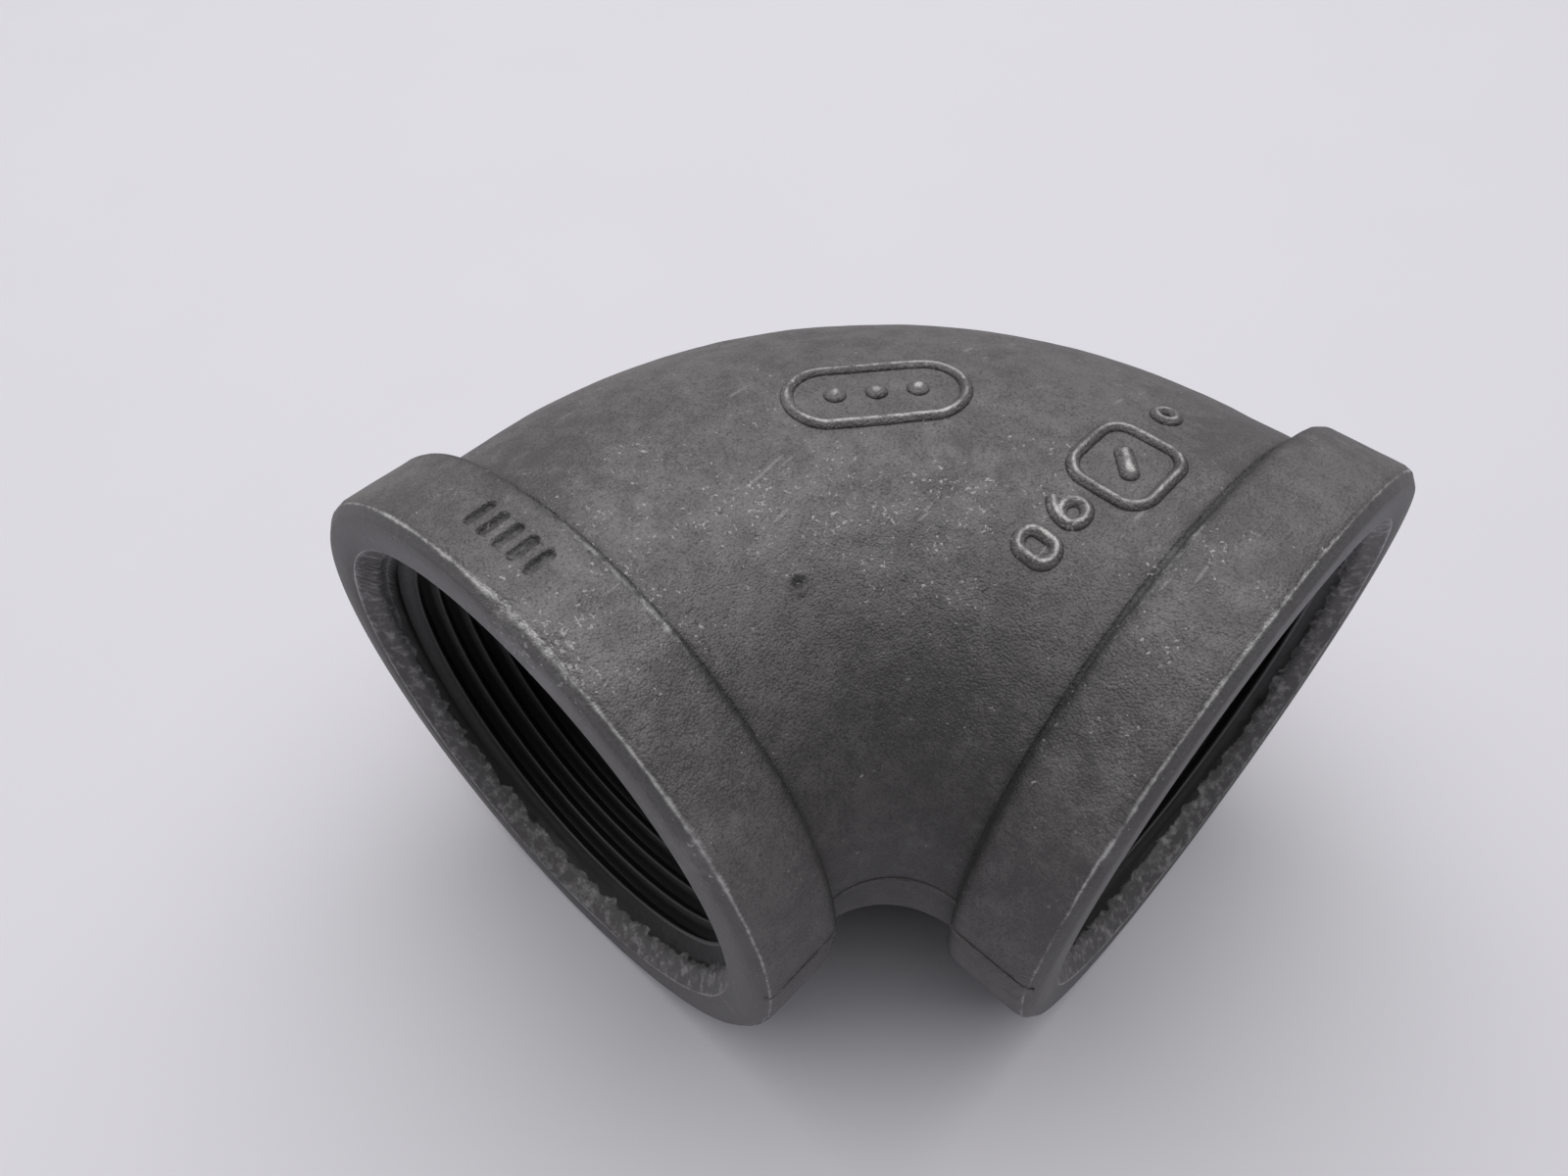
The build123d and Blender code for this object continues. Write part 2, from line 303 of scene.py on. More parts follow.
def spun_bend(bm, radius, around, steps, sizes, inside=False):
    """One skin of the bend: a circle swung a quarter turn about the pivot, then drawn out to its edges."""
    start = Matrix.Translation(CROSSING + Vector((TOE, 0, 0))) @ Matrix.Rotation(math.pi / 2, 4, "Y")
    ring = bmesh.ops.create_circle(bm, segments=around, radius=radius, matrix=start)["verts"]
    edges = list({edge for vert in ring for edge in vert.link_edges})
    spun = bmesh.ops.spin(
        bm, geom=ring + edges, cent=PIVOT, axis=(0, 0, 1), angle=math.pi / 2, steps=steps, use_merge=False
    )
    last = [item for item in spun["geom_last"] if isinstance(item, bmesh.types.BMEdge)]
    skin = {vert for vert in bm.verts if not vert.tag}
    for vert in skin:
        arm = vert.co - PIVOT
        turn = math.atan2(-arm.x, arm.y)
        out = math.hypot(arm.x, arm.y)
        near, far = bend_edges(turn, radius, sizes, inside)
        wanted = near + (far - near) * ((out - TOE) / radius + 1) / 2
        vert.co.xy = PIVOT.xy + arm.xy * (wanted / out)
        vert.tag = True
    return edges, last, skin


def close_wall(bm, outer, inner, across):
    """Joins the bend's two skins at one end, vert to vert by their turn round the port."""
    rings = []
    for edges in (outer, inner):
        verts = {vert for edge in edges for vert in edge.verts}
        half_step = math.pi / len(verts)
        turns = {}
        for vert in verts:
            arm = vert.co - CROSSING
            turns[vert] = (math.atan2(arm.z, arm.dot(across)) + half_step) % math.tau
        rings.append(sorted(turns, key=turns.get))
    for i in range(len(rings[0])):
        bm.faces.new((rings[0][i - 1], rings[0][i], rings[1][i], rings[1][i - 1]))


def dip_outside(outside, sizes):
    """Lets the bend's outside dip inward, as cast skin does."""
    for vert in outside:
        away = vert.co - PIVOT
        middle = sum(bend_edges(math.atan2(-away.x, away.y), BEND_RADIUS, sizes)) / 2
        away.xy = away.xy * (1 - middle / away.xy.length)
        sign = 1 if vert.normal.dot(away) > 0 else -1
        vert.co -= vert.normal * sign * dip(vert.co, sizes.lump_depth)


def bend_piece(sizes, finish, material):
    """The hollow bend: its outside, its waterway and the two rings that join them."""
    bm = bmesh.new()
    around = finish.around // 2
    outer_a, outer_b, outside = spun_bend(bm, BEND_RADIUS, around, BEND_STEPS, sizes)
    inner_a, inner_b, _ = spun_bend(bm, BEND_RADIUS - sizes.wall, around, WATERWAY_STEPS, sizes, inside=True)
    bm.normal_update()
    dip_outside(outside, sizes)
    close_wall(bm, outer_a, inner_a, Vector((0, 1, 0)))
    close_wall(bm, outer_b, inner_b, Vector((1, 0, 0)))
    press_crater(bm, sizes)
    paint(bm, "scuff", scuff_at)
    paint(bm, "rubbed", lambda place: 0.0)
    # painted shade: creases, crotch and crater on the outside, and all of the waterway inside
    paint(bm, "painted_shade", lambda place: painted_shade_at(place, sizes) + in_waterway(place, sizes))
    piece("bend", bm, material, "elbow_bend")


def press_crater(bm, sizes):
    """Presses a small ragged crater with a raised lip into the bend's top."""
    x, y = CRATER[0] * MM, CRATER[1] * MM
    centre = CROSSING + Vector((x, y, bend_top(x, y, sizes)))
    reach_out = 3 * MM
    near = [edge for edge in bm.edges if all((vert.co - centre).length < reach_out for vert in edge.verts)]
    bmesh.ops.subdivide_edges(bm, edges=near, cuts=4, use_grid_fill=True)
    for vert in bm.verts:
        off = (vert.co - centre).length
        if off < reach_out:
            off += noise.noise(vert.co / (0.9 * MM)) * 0.35 * MM
            lip = 0.16 * MM * math.exp(-(((off - 1.15 * MM) / (0.4 * MM)) ** 2))
            pit = 0.45 * MM * math.exp(-((off / (0.7 * MM)) ** 2))
            vert.co.z += lip - pit


def scuff_at(place):
    """How scuffed the skin is here, from 0 to 1."""
    total = 0.12
    for centre, size, strength in SCUFFS:
        off = (place - CROSSING - Vector(centre) * MM).length / (size * MM)
        total += strength * math.exp(-off * off)
    return total


def painted_shade_at(place, sizes):
    """How much painted shade lies here: most in the hollow behind each band, in the crotch and in the crater.
    """
    local = place - CROSSING
    beside_a = abs(local.x - TOE - sizes.shoulder_fillet * 0.7)
    beside_b = abs(-local.y - TOE - sizes.shoulder_fillet * 0.7)
    # painted shade in the crease behind each band's rear flank
    hollow = min(beside_a, beside_b) / (1.3 * MM)
    # painted shade over the lower crotch
    crotch_shade = (local - Vector(CROTCH_SHADE) * MM).length / (CROTCH_SHADE_SIZE * MM)
    # painted shade in the crater's pit
    pit = (local.xy / MM - Vector(CRATER)).length / 1.1
    return math.exp(-hollow * hollow) + 0.9 * math.exp(-crotch_shade * crotch_shade) + 0.8 * math.exp(-pit * pit)


def turned(bm, profile, steps):
    """Spins a closed outline of (x, radius) points round the x axis into a ring."""
    verts = [bm.verts.new((x, 0, radius)) for x, radius in profile]
    edges = [bm.edges.new((verts[i - 1], verts[i])) for i in range(len(verts))]
    bmesh.ops.spin(
        bm, geom=verts + edges, cent=(0, 0, 0), axis=(1, 0, 0), angle=math.tau, steps=steps, use_merge=True
    )


def radius_of(point):
    """Distance from the port's axis, in the port's own space."""
    return math.hypot(point.y, point.z)


def ring_edges(bm, x, radius):
    """The edges of a ring made by spinning the point (x, radius)."""

    def on_ring(vert):
        return abs(vert.co.x - x) < CLOSE and abs(radius_of(vert.co) - radius) < CLOSE

    return [edge for edge in bm.edges if on_ring(edge.verts[0]) and on_ring(edge.verts[1])]


def round_ring(bm, x, radius, size):
    """Rounds a ring-shaped corner."""
    bmesh.ops.bevel(
        bm,
        geom=ring_edges(bm, x, radius),
        offset=size,
        segments=5,
        profile=0.5,
        affect="EDGES",
        material=-1,
    )


def along_profile(edge):
    """Whether an edge runs along the outline that was spun, not round the axis."""
    first, second = edge.verts[0].co, edge.verts[1].co
    return abs(first.x - second.x) > CLOSE or abs(radius_of(first) - radius_of(second)) > 0.05 * MM


def divide(bm, longest, wanted):
    """Cuts the outline's long edges until none that is wanted is longer than this."""
    by_cuts = {}
    for edge in bm.edges:
        if along_profile(edge) and wanted(edge):
            cuts = int(edge.calc_length() / longest)
            by_cuts.setdefault(cuts, []).append(edge)
    for cuts, edges in sorted(by_cuts.items()):
        live = [edge for edge in edges if edge.is_valid]
        if cuts:
            bmesh.ops.subdivide_edges(bm, edges=live, cuts=cuts, use_grid_fill=True)


def band_outline(sizes):
    """Points (x, radius) round a band's section: its rear flank, its outside, its worn front and its face."""
    flank = TOE + sizes.shoulder_fillet
    ridge = BAND_RADIUS - sizes.ridge_drop
    return [
        (TOE, RIM_RADIUS),
        (TOE, BEND_RADIUS),
        (flank, BEND_RADIUS),
        (flank, BAND_RADIUS),
        (END - 2 * sizes.ridge_depth, BAND_RADIUS),
        (END - sizes.ridge_depth, ridge),
        (END - sizes.ridge_depth * 0.3, ridge - sizes.face_edge * 0.55),
        (END, BAND_RADIUS - sizes.face_edge),
        (END, RIM_RADIUS),
    ]


def dip_band(bm, space, sizes):
    """Lets a band's cast skin dip inward, but not its face or its bore."""
    bm.normal_update()
    for vert in bm.verts:
        if vert.co.x > TOE + CLOSE and radius_of(vert.co) > RIM_RADIUS + 0.1 * MM:
            out = vert.normal if vert.normal.dot(vert.co) > 0 else -vert.normal
            behind = min(1.0, (END - vert.co.x) / sizes.ridge_depth)
            vert.co -= out * dip(space @ vert.co, sizes.lump_depth) * behind


def band_piece(port, sizes, finish, material):
    """An end band: a spun outline with a faced front, lumpy as cast, with worn edges and sunk bars."""
    bm = bmesh.new()
    space = port_space(port)
    flank = TOE + sizes.shoulder_fillet
    turned(bm, band_outline(sizes), finish.around)
    round_ring(bm, flank, BEND_RADIUS, sizes.shoulder_fillet * 0.96)
    round_ring(bm, flank, BAND_RADIUS, sizes.shoulder_round)
    outside = RIM_RADIUS + 2 * MM
    divide(bm, 0.7 * MM, lambda edge: min(radius_of(vert.co) for vert in edge.verts) > outside)
    dip_band(bm, space, sizes)
    if port == "b":
        sink_bars(bm, sizes)
    paint(bm, "rubbed", lambda place: band_wear(place, space, sizes))
    knock_edges(bm, space, sizes)
    paint(bm, "cut", lambda place: 1.5 - (END - place.x) / sizes.ridge_depth)
    paint(bm, "ring", lambda place: (radius_of(place) - RIM_RADIUS) / (BAND_RADIUS - RIM_RADIUS))
    bm.transform(space)
    paint(bm, "scuff", scuff_at)
    # painted shade in the crease behind the band and in the sunk bars
    paint(bm, "painted_shade", lambda place: painted_shade_at(place, sizes) + shade_in_bars(space.inverted() @ place, port, sizes))
    piece(f"band_{port}_ring", bm, material, f"band_{port}")


def off_ridge(place, sizes):
    """Distance from the worn ridge round a port's face, in the port's own space."""
    return math.hypot(place.x - END + sizes.ridge_depth, radius_of(place) - BAND_RADIUS + sizes.ridge_drop)


def knock_edges(bm, space, sizes):
    """Wears the ridge round a port's face: small nicks everywhere and a few larger chips."""
    for edge in bm.edges:
        if all(off_ridge(vert.co, sizes) < 0.32 * MM for vert in edge.verts) and not along_profile(edge):
            edge.smooth = False
    for vert in bm.verts:
        off = off_ridge(vert.co, sizes)
        if off > 2.6 * MM:
            continue
        place = space @ vert.co
        nick = max(0.0, noise.noise(place / (1.7 * MM)) - 0.1) * 0.30 * MM
        chip = max(0.0, noise.noise(place / (5 * MM) + Vector((3, 5, 8))) - 0.36) * 1.6 * MM
        knock = 0.8 * MM * math.exp(-(((place - CROSSING) / MM - Vector(NICK)).length / 1.3) ** 2)
        worn_off = (nick + chip) * math.exp(-((off / (0.7 * MM)) ** 2)) + knock
        behind = min(1.0, (END - vert.co.x) / (0.4 * MM))
        vert.co.x -= worn_off * 0.6 * behind
        vert.co.yz = vert.co.yz * (1 - worn_off * 0.7 * behind / radius_of(vert.co))


def band_wear(place, space, sizes):
    """How rubbed a band is here: most on its front ridge, its rear corner and the rim of the port."""
    radius = radius_of(place)
    handled = min(1.0, scuff_at(space @ place))
    flank = TOE + sizes.shoulder_fillet
    front = off_ridge(place, sizes) / (0.55 * MM)
    rear = math.hypot(place.x - flank - 0.45 * MM, radius - BAND_RADIUS + 0.35 * MM) / (1.2 * MM)
    rim = math.hypot(place.x - END, radius - RIM_RADIUS) / (0.4 * MM)
    front_wear = (0.65 + 1.9 * handled) * math.exp(-front * front)
    rear_wear = (0.4 + 0.35 * handled) * math.exp(-rear * rear)
    return front_wear + rear_wear + 0.6 * math.exp(-rim * rim)


def bar_depth(place, sizes):
    """How deep the row of five sunk bars is here, from 0 to 1, in port B's own space."""
    middle = (TOE + sizes.shoulder_fillet + END) / 2 - 0.9 * MM
    if place.z < BAND_RADIUS * 0.9 or abs(place.y) > 2.5 * BAR_PITCH:
        return 0.0
    side = place.y - BAR_PITCH * round(place.y / BAR_PITCH)
    end = max(0.0, abs(place.x - middle) - (BAR_LENGTH - BAR_WIDTH) / 2)
    off = math.hypot(side, end) / (BAR_WIDTH / 2)
    return max(0.0, min(1.0, 1.8 * (1.25 - off)))


def shade_in_bars(place, port, sizes):
    """Painted shade in the sunk bars."""
    return 0.75 * bar_depth(place, sizes) if port == "b" else 0.0


def sink_bars(bm, sizes):
    """Presses a row of five bars into the top of the band."""
    for _ in range(2):
        near = [edge for edge in bm.edges if any(bar_depth(vert.co, sizes) > 0 for vert in edge.verts)]
        bmesh.ops.subdivide_edges(bm, edges=near, cuts=1, use_grid_fill=True)
    for vert in bm.verts:
        vert.co.z -= BAR_DEPTH * bar_depth(vert.co, sizes)


def thread_outline(sizes):
    """Points (x, radius) along the thread's section, from before the port's face to past the thread's end."""
    half = sizes.pitch / 2
    first = END - sizes.thread_start + sizes.pitch
    mid_radius = (sizes.root_radius + sizes.crest_radius) / 2
    flank_mid = (ROOT_FLAT + sizes.pitch - CREST_FLAT) / 4
    points = []
    for i in range(int((END - THREAD_END) / sizes.pitch) + 3):
        groove = first - i * sizes.pitch
        points += [
            (groove + half - CREST_FLAT / 2, sizes.crest_radius),
            (groove + flank_mid, mid_radius),
            (groove + ROOT_FLAT / 2, sizes.root_radius),
            (groove - ROOT_FLAT / 2, sizes.root_radius),
            (groove - flank_mid, mid_radius),
            (groove - half + CREST_FLAT / 2, sizes.crest_radius),
        ]
    return points


def spiral(bm, points, sizes, steps):
    """Winds the thread's section into a spiral of neighbouring turns, and joins them."""
    verts = [bm.verts.new((x, 0, -radius)) for x, radius in points]
    edges = [bm.edges.new(pair) for pair in zip(verts, verts[1:])]
    bmesh.ops.spin(
        bm,
        geom=verts + edges,
        cent=(0, 0, 0),
        axis=(1, 0, 0),
        dvec=(-sizes.pitch / steps, 0, 0),
        angle=-math.tau,
        steps=steps,
        use_merge=False,
    )
    bmesh.ops.remove_doubles(bm, verts=bm.verts, dist=CLOSE)


def taper_thread(bm, sizes):
    """Marks the thread's crests, draws the thread in to its taper and clears it for the lead-in cone."""
    crest = bm.verts.layers.float.new("crest")
    mouth = END - MOUTH_BACK
    for vert in bm.verts:
        radius = radius_of(vert.co)
        vert[crest] = (sizes.root_radius - radius) / (sizes.root_radius - sizes.crest_radius)
        depth = END - vert.co.x
        lead = (depth - mouth) / (sizes.lead_depth - mouth)
        cone = MOUTH_RADIUS + (sizes.crest_radius - MOUTH_RADIUS) * max(0.0, lead)
        wanted = max(radius - depth * TAPER, cone if lead < 1.2 else 0.0)
        vert.co.yz = vert.co.yz * (wanted / radius)


def cut_ends(bm):
    """Cuts the spiral off square at the mouth and at the thread's end, and gives the edges of both cuts."""
    for x, sign in ((MOUTH_BACK, 1), (THREAD_END, -1)):
        bmesh.ops.bisect_plane(
            bm,
            geom=bm.verts[:] + bm.edges[:] + bm.faces[:],
            dist=WELD,
            plane_co=(x, 0, 0),
            plane_no=(sign, 0, 0),
            clear_outer=True,
        )
    rim = [edge for edge in bm.edges if edge.is_boundary]
    front = [edge for edge in rim if abs(edge.verts[0].co.x - MOUTH_BACK) < CUT_REACH]
    back = [edge for edge in rim if abs(edge.verts[0].co.x - THREAD_END) < CUT_REACH]
    return front, back


def pull_mouth(bm, front):
    """Pulls the front cut out over the land and the countersink to the face, and back outside to the end."""
    rings = [((MOUTH_BACK + MOUTH_FRONT) / 2, MOUTH_RADIUS), (MOUTH_FRONT, MOUTH_RADIUS)]
    for i in range(1, MOUTH_RINGS):
        part = i / MOUTH_RINGS
        radius = MOUTH_RADIUS + (RIM_RADIUS - MOUTH_RADIUS) * part
        rings.append((MOUTH_FRONT + (END - MOUTH_FRONT) * part, radius))
    for x, radius in (*rings, (END, RIM_RADIUS), (THREAD_END, RIM_RADIUS)):
        pulled = bmesh.ops.extrude_edge_only(bm, edges=front)["geom"]
        front = [item for item in pulled if isinstance(item, bmesh.types.BMEdge)]
        for vert in {vert for edge in front for vert in edge.verts}:
            vert.co.yz = vert.co.yz * (radius / radius_of(vert.co))
            vert.co.x = x
    return front


def thread_piece(port, sizes, finish, material):
    """A tapped port: spiral thread, lead-in cone, plain land and countersink."""
    bm = bmesh.new()
    space = port_space(port)
    spiral(bm, thread_outline(sizes), sizes, finish.around)
    taper_thread(bm, sizes)
    front, back = cut_ends(bm)
    bmesh.ops.bridge_loops(bm, edges=pull_mouth(bm, front) + back)
    paint(bm, "depth", lambda place: (END - place.x) / (10 * MM))
    paint(bm, "rubbed", lambda place: 1 - (END - place.x) / (0.5 * MM))
    roughen_mouth(bm, space)
    bm.transform(space)
    piece(f"tapped_port_{port}", bm, material, f"thread_{port}")


def roughen_mouth(bm, space):
    """Leaves the countersink as a blunt tool did: lumpy, torn at its inner edge, and with chatter marks."""
    for vert in bm.verts:
        depth = END - vert.co.x
        radius = radius_of(vert.co)
        if depth < 0.05 * MM or depth > MOUTH_DEPTH or radius > RIM_RADIUS - CLOSE:
            continue
        place = space @ vert.co
        fade = min(1.0, depth / (0.8 * MM))
        lumps = (noise.noise(place / (1.9 * MM)) + 0.5 * noise.noise(place / (0.8 * MM))) * 0.09 * MM * fade
        around = math.atan2(-vert.co.y, vert.co.z)
        chatter = math.exp(-(((around - CHATTER_TURN) / CHATTER_SPREAD) ** 2))
        chatter *= 0.22 * MM * fade * math.sin(around * radius / CHATTER_PITCH * math.tau)
        torn = max(0.0, noise.noise(place / (2.2 * MM) + Vector((4, 4, 4)))) * 0.6 * MM
        deep = max(0.0, 1 - abs(depth - (END - MOUTH_BACK)) / (0.9 * MM))
        vert.co.yz = vert.co.yz * (1 + (lumps + chatter) / radius)
        vert.co.x -= torn * deep


# ---- mould line -----------------------------------------------------------------------------------------
def line_path(sizes, back):
    """Points of the mould line from port A's face to the diagonal, from the crossing, in the level plane."""
    side = 1 if back else -1
    flank = TOE + sizes.shoulder_fillet
    ridge = BAND_RADIUS - sizes.ridge_drop
    radii = [
        (END - sizes.ridge_depth * 0.5, ridge - sizes.face_edge * 0.35),
        (END - sizes.ridge_depth, ridge - 0.1 * MM),
        (END - 2 * sizes.ridge_depth, BAND_RADIUS - 0.08 * MM),
    ]
    steps = 10
    start, stop = radii[-1][0], flank + sizes.shoulder_round
    radii += [(start + (stop - start) * i / steps, BAND_RADIUS) for i in range(1, steps + 1)]
    radii += [
        (flank + 0.38 * MM, BAND_RADIUS - 0.38 * MM),
        (flank, BAND_RADIUS - sizes.shoulder_round),
        (flank, BEND_RADIUS + sizes.shoulder_fillet),
        (flank - 0.85 * MM, BEND_RADIUS + 0.35 * MM),
    ]
    points = [Vector((x, side * radius, 0)) for x, radius in radii]
    turns = 48 if back else 14
    for i in range(turns + 1):
        turn = math.pi / 4 * i / turns
        near, far = bend_edges(turn, BEND_RADIUS, sizes)
        arm = far if back else near
        points.append(Vector((TOE - arm * math.sin(turn), -TOE + arm * math.cos(turn), 0)))
    return points


def line_piece(name, node, sizes, material, back):
    """The raised line where the mould's halves met, uneven along its length."""
    half = line_path(sizes, back)
    path = half + [Vector((-point.y, -point.x, 0)) for point in reversed(half[:-1])]
    outward = 1 if back else -1
    half_width = 0.42 * MM
    bm = bmesh.new()
    verts = bmesh.ops.create_circle(bm, cap_ends=True, segments=10, radius=1)["verts"]
    corners = [vert.co.copy() for vert in verts]
    edges = bm.edges[:]
    for i, point in enumerate(path):
        along = (path[min(i + 1, len(path) - 1)] - path[max(i - 1, 0)]).normalized()
        out = along.cross(Vector((0, 0, outward)))
        middle = CROSSING + point
        uneven = 0.62 + 0.38 * noise.noise(middle / (4 * MM)) + 0.2 * noise.noise(middle / (1.3 * MM))
        height = sizes.line_height * min(1.0, max(0.15, uneven))
        if i:
            pulled = bmesh.ops.extrude_edge_only(bm, edges=edges)["geom"]
            edges = [item for item in pulled if isinstance(item, bmesh.types.BMEdge)]
            verts = match_ring([item for item in pulled if isinstance(item, bmesh.types.BMVert)], placed)
        placed = [middle + out * spot.x * height + Vector((0, 0, spot.y * half_width)) for spot in corners]
        for vert, spot in zip(verts, placed):
            vert.co = spot
    bmesh.ops.contextual_create(bm, geom=edges)
    paint(bm, "scuff", scuff_at)
    paint(bm, "rubbed", lambda place: 0.25)
    piece(name, bm, material, node)


def match_ring(verts, placed):
    """Puts a pulled ring's vertices in the order of the ring that they were pulled from."""
    return [min(verts, key=lambda vert: (vert.co - spot).length_squared) for spot in placed]


# ---- raised marks ---------------------------------------------------------------------------------------
def drape(bm, node, turn, sizes):
    """Turns a mark and lays it on top of the bend, in the middle of its node's box."""
    bm.transform(Matrix.Rotation(math.radians(turn), 4, "Z"))
    low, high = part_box(node)
    wanted = (low.xy + high.xy) / 2 - CROSSING.xy
    for axis in (0, 1):
        places = [vert.co[axis] for vert in bm.verts]
        shift = wanted[axis] - (min(places) + max(places)) / 2
        for vert in bm.verts:
            vert.co[axis] += shift
    for vert in bm.verts:
        ground = CROSSING + Vector((vert.co.x, vert.co.y, bend_top(vert.co.x, vert.co.y, sizes)))
        lift = vert.co.z - dip(ground, sizes.lump_depth)
        rough = noise.noise(ground / (1.5 * MM)) * 0.06 * MM
        vert.co = ground + Vector((0, 0, lift - max(0.0, rough)))


def stretch(bm, along_x, along_y):
    """Pulls a round shape's halves apart, so that a ring becomes a long or a square frame."""
    for vert in bm.verts:
        for axis, longer in ((0, along_x), (1, along_y)):
            if abs(vert.co[axis]) > WELD:
                vert.co[axis] += math.copysign(longer / 2, vert.co[axis])
    long = [edge for edge in bm.edges if edge.calc_length() > 0.9 * MM]
    if long:
        bmesh.ops.subdivide_edges(bm, edges=long, cuts=6, use_grid_fill=True)


def raised_ring(bm, radius, sizes, angle=math.tau, start=0.0, centre=(0, 0, 0)):
    """A line with a rounded top, bent round a centre: a whole ring, or an arc with closed ends."""
    whole = angle == math.tau
    place = (
        Matrix.Translation(centre)
        @ Matrix.Rotation(start, 4, "Z")
        @ Matrix.Translation((radius, 0, 0))
        @ Matrix.Rotation(math.pi / 2, 4, "X")
    )
    ring = bmesh.ops.create_circle(bm, cap_ends=not whole, segments=MARK_SEGMENTS, radius=1)["verts"]
    for vert in ring:
        flare = 1 + 0.5 * max(0.0, 1 - abs(vert.co.y)) ** 2
        vert.co = place @ Vector((vert.co.x * flare * sizes.stroke / 2, vert.co.y * sizes.mark_height, 0))
    edges = list({edge for vert in ring for edge in vert.link_edges})
    faces = list({face for vert in ring for face in vert.link_faces})
    bmesh.ops.spin(
        bm,
        geom=ring + edges + faces,
        cent=centre,
        axis=(0, 0, 1),
        angle=angle,
        steps=MARK_STEPS,
        use_merge=whole,
    )


def raised_dome(bm, radius, sizes):
    """A low round boss, its lower half sunk in the metal."""
    squash = Matrix.Diagonal((radius, radius, sizes.mark_height, 1))
    bmesh.ops.create_uvsphere(bm, u_segments=32, v_segments=16, radius=1, matrix=squash)


def mark_piece(node, bm, turn, sizes, material):
    """Finishes a raised mark."""
    bmesh.ops.remove_doubles(bm, verts=bm.verts, dist=WELD)
    paint(bm, "rubbed", lambda spot: 0.9 * max(0.0, spot.z / sizes.mark_height) ** 3)
    # painted shade round each mark's foot, fading out up its sides
    paint(bm, "painted_shade", lambda spot: 1.1 - max(0.0, spot.z / sizes.mark_height) * 3.2)
    drape(bm, node, turn, sizes)
    paint(bm, "scuff", lambda spot: scuff_at(spot) + 0.25)
    piece(node.replace("mark_", "raised_"), bm, material, node)


def frame_pieces(sizes, material):
    """The long frame round the pips, and the small square frame with its bar."""
    bm = bmesh.new()
    raised_ring(bm, (CARTOUCHE[1] - sizes.stroke) / 2, sizes)
    stretch(bm, CARTOUCHE[0] - CARTOUCHE[1], 0)
    mark_piece("mark_cartouche", bm, CARTOUCHE_TURN, sizes, material)

    low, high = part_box("mark_badge")
    side = high.x - low.x - sizes.stroke - 2 * BADGE_CORNER
    bm = bmesh.new()
    raised_ring(bm, BADGE_CORNER, sizes)
    stretch(bm, side, side)
    mark_piece("mark_badge", bm, READING_TURN, sizes, material)

    bm = bmesh.new()
    raised_dome(bm, sizes.stroke * 0.95, sizes)
    stretch(bm, side * 0.66, 0)
    mark_piece("mark_badge_bar", bm, READING_TURN + 45, sizes, material)


def figure_pieces(sizes, material):
    """The degree ring, the nine and the zero, read with their tops towards port A."""
    low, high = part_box("mark_degree")
    bm = bmesh.new()
    raised_ring(bm, (high.x - low.x - sizes.stroke) / 2, sizes)
    mark_piece("mark_degree", bm, READING_TURN, sizes, material)

    low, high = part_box("mark_zero")
    tall, width = high.x - low.x, high.y - low.y
    bowl = (width - sizes.stroke) / 2
    bm = bmesh.new()
    raised_ring(bm, bowl, sizes)
    stretch(bm, 0, tall - width)
    mark_piece("mark_zero", bm, READING_TURN, sizes, material)

    bm = bmesh.new()
    middle = (tall - width) / 2
    raised_ring(bm, bowl, sizes, centre=(0, middle, 0))
    bend = math.radians(TAIL_TURN + TAIL_ROOT)
    raised_ring(bm, TAIL_RADIUS, sizes, bend, math.radians(-TAIL_TURN), (bowl - TAIL_RADIUS, middle, 0))
    mark_piece("mark_nine", bm, READING_TURN, sizes, material)


def pip_pieces(sizes, material):
    """Three small round bosses in a row."""
    for number in (1, 2, 3):
        bm = bmesh.new()
        raised_dome(bm, PIP_RADIUS, sizes)
        mark_piece(f"mark_pip_{number}", bm, CARTOUCHE_TURN, sizes, material)


# ---- finishes -------------------------------------------------------------------------------------------
def add(tree, kind, values, **settings):
    """Adds a shader node with its settings, and sets or links its inputs."""
    made = tree.nodes.new("ShaderNode" + kind)
    for name, value in settings.items():
        setattr(made, name, value)
    for socket, value in values.items():
        if isinstance(value, bpy.types.NodeSocket):
            tree.links.new(value, made.inputs[socket])
        else:
            made.inputs[socket].default_value = value
    return made


def maths(tree, operation, first, second=0.0):
    """One sum of two values."""
    return add(tree, "Math", {0: first, 1: second}, operation=operation).outputs[0]


def times(tree, value, factor):
    """A value, made larger or smaller."""
    return maths(tree, "MULTIPLY", value, factor)


def step_up(tree, value, low, high, to_low=0.0, to_high=1.0):
    """Turns a value's rise from low to high into a soft step."""
    spread = {"Value": value, "From Min": low, "From Max": high, "To Min": to_low, "To Max": to_high}
    return add(tree, "MapRange", spread, interpolation_type="SMOOTHSTEP").outputs["Result"]


def blend(tree, factor, first, second):
    """Mixes two colours."""
    return add(tree, "Mix", {"Factor": factor, 6: first, 7: second}, data_type="RGBA").outputs[2]


def cloud(tree, place, size_mm, detail, rough=0.55):
    """Cloudy noise whose blobs are about this size."""
    sizes = {"Vector": place, "Scale": 1000 / size_mm, "Detail": detail, "Roughness": rough}
    return add(tree, "TexNoise", sizes).outputs["Fac"]


def new_group(name, inputs, outputs):
    """Starts a node group, and gives its tree, what comes in and what goes out."""
    tree = bpy.data.node_groups.new(name, "ShaderNodeTree")
    kinds = {"Place": "NodeSocketVector"}
    for label in inputs:
        tree.interface.new_socket(name=label, in_out="INPUT", socket_type=kinds.get(label, "NodeSocketFloat"))
    for label in outputs:
        tree.interface.new_socket(name=label, in_out="OUTPUT", socket_type="NodeSocketFloat")
    return tree, tree.nodes.new("NodeGroupInput").outputs, tree.nodes.new("NodeGroupOutput").inputs


